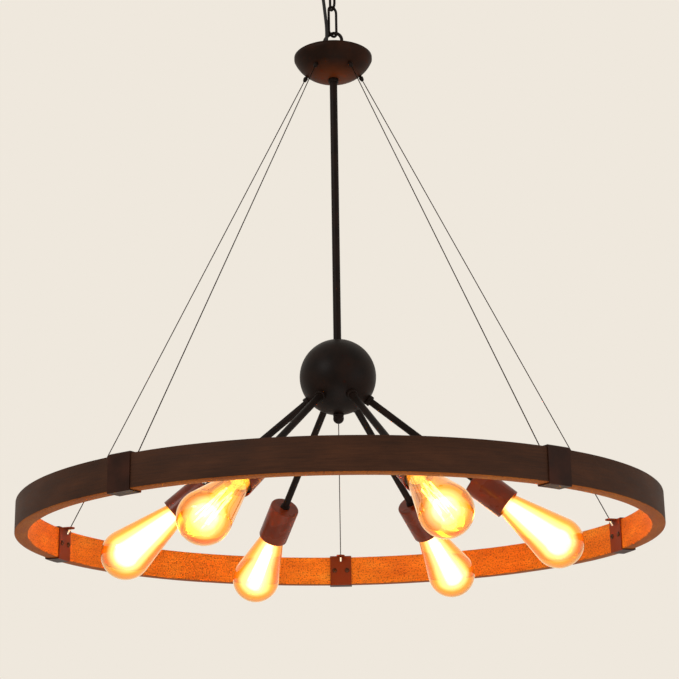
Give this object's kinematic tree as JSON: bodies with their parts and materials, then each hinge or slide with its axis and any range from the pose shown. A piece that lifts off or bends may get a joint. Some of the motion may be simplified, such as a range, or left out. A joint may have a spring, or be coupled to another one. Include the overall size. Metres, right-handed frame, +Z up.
{
  "type": "wagon wheel chandelier",
  "caption": "Wheel shaped chandelier: a ring of five bent wood staves hung on steel cables round a central ball with six arms and amber pear bulbs, on a chain.",
  "frame": {"origin": "centre of the upper face of the ceiling crossbar, midway between its two screw slots, in the plane of the ceiling", "axes": "+Z up, out of the top into the ceiling; +X along the ceiling crossbar; -Y is the front, which the picture was taken from, and +Y the back"},
  "size_m": [0.8, 0.8016, 0.878],
  "materials": {
    "bronze": "dark bronze paint, satin",
    "stave_wood": "stained and waxed bent wood, matte",
    "steel": "plain zinc plated",
    "cable_wire": "stranded, darkened",
    "ferrule": "bright plated",
    "screw": "bronzed",
    "cord_cover": "matte black jacket",
    "bush": "matte black",
    "holder": "moulded, semi gloss",
    "cap_metal": "drawn and rolled thread",
    "amber_glass": "clear amber, polished",
    "filament": "glowing"
  },
  "bodies": {
    "root": {"ceiling_crossbar": "steel", "ceiling_nipple": "steel", "ceiling_lock_nut": "steel", "ceiling_canopy": "bronze", "canopy_collar_nut": "bronze", "canopy_cord_bush": "bush", "ceiling_loop": "bronze", "power_cord_3": "cord_cover"},
    "upper_link": {"chain_link_1": "bronze", "power_cord_2": "cord_cover"},
    "lower_link": {"chain_link_2": "bronze"},
    "fixture": {"power_cord_1": "cord_cover", "hub_loop": "bronze", "hub_cover": "bronze", "hub_cord_bush": "bush", "hub_dish": "bronze", "cable_grippers": "bronze", "suspension_cables": "cable_wire", "cable_ferrules": "ferrule", "ring_stave_1": "stave_wood", "ring_stave_2": "stave_wood", "ring_stave_3": "stave_wood", "ring_stave_4": "stave_wood", "ring_stave_5": "stave_wood", "ring_clamp_1": "bronze", "ring_clamp_2": "bronze", "ring_clamp_3": "bronze", "ring_clamp_4": "bronze", "ring_clamp_5": "bronze", "clamp_screws": "screw", "down_rod": "bronze", "ball_shell": "bronze", "cluster_core": "steel", "ball_finial": "bronze", "lamp_arm_1": "bronze", "lamp_arm_2": "bronze", "lamp_arm_3": "bronze", "lamp_arm_4": "bronze", "lamp_arm_5": "bronze", "lamp_arm_6": "bronze", "socket_cups": "bronze", "lamp_holders": "holder"},
    "bulb_1": {"bulb_glass_1": "amber_glass", "bulb_cap_1": "cap_metal", "bulb_filament_1": "filament"},
    "bulb_2": {"bulb_glass_2": "amber_glass", "bulb_cap_2": "cap_metal", "bulb_filament_2": "filament"},
    "bulb_3": {"bulb_glass_3": "amber_glass", "bulb_cap_3": "cap_metal", "bulb_filament_3": "filament"},
    "bulb_4": {"bulb_glass_4": "amber_glass", "bulb_cap_4": "cap_metal", "bulb_filament_4": "filament"},
    "bulb_5": {"bulb_glass_5": "amber_glass", "bulb_cap_5": "cap_metal", "bulb_filament_5": "filament"},
    "bulb_6": {"bulb_glass_6": "amber_glass", "bulb_cap_6": "cap_metal", "bulb_filament_6": "filament"}
  },
  "joints": [
    {"name": "upper_link_swing", "type": "hinge", "parent": "root", "child": "upper_link", "pos_m": [0, 0, -0.0637], "axis": [0.9135, 0.4067, 0], "range_deg": [-20, 20], "deforming": ["power_cord_3"]},
    {"name": "lower_link_swing", "type": "hinge", "parent": "upper_link", "child": "lower_link", "pos_m": [0, 0, -0.1034], "axis": [0.4067, -0.9135, 0], "range_deg": [-20, 20], "deforming": ["power_cord_2"]},
    {"name": "fixture_swing", "type": "hinge", "parent": "lower_link", "child": "fixture", "pos_m": [0, 0, -0.1436], "axis": [0.6947, 0.7193, 0], "range_deg": [-20, 20], "deforming": ["power_cord_1"]},
    {"name": "bulb_1_unscrew", "type": "slide", "parent": "fixture", "child": "bulb_1", "axis": [0.7718, -0.0567, -0.6334], "range_m": [0, 0.025]},
    {"name": "bulb_2_unscrew", "type": "slide", "parent": "fixture", "child": "bulb_2", "axis": [0.435, 0.64, -0.6334], "range_m": [0, 0.025]},
    {"name": "bulb_3_unscrew", "type": "slide", "parent": "fixture", "child": "bulb_3", "axis": [-0.3368, 0.6967, -0.6334], "range_m": [0, 0.025]},
    {"name": "bulb_4_unscrew", "type": "slide", "parent": "fixture", "child": "bulb_4", "axis": [-0.7718, 0.0567, -0.6334], "range_m": [0, 0.025]},
    {"name": "bulb_5_unscrew", "type": "slide", "parent": "fixture", "child": "bulb_5", "axis": [-0.435, -0.64, -0.6334], "range_m": [0, 0.025]},
    {"name": "bulb_6_unscrew", "type": "slide", "parent": "fixture", "child": "bulb_6", "axis": [0.3368, -0.6967, -0.6334], "range_m": [0, 0.025]}
  ]
}
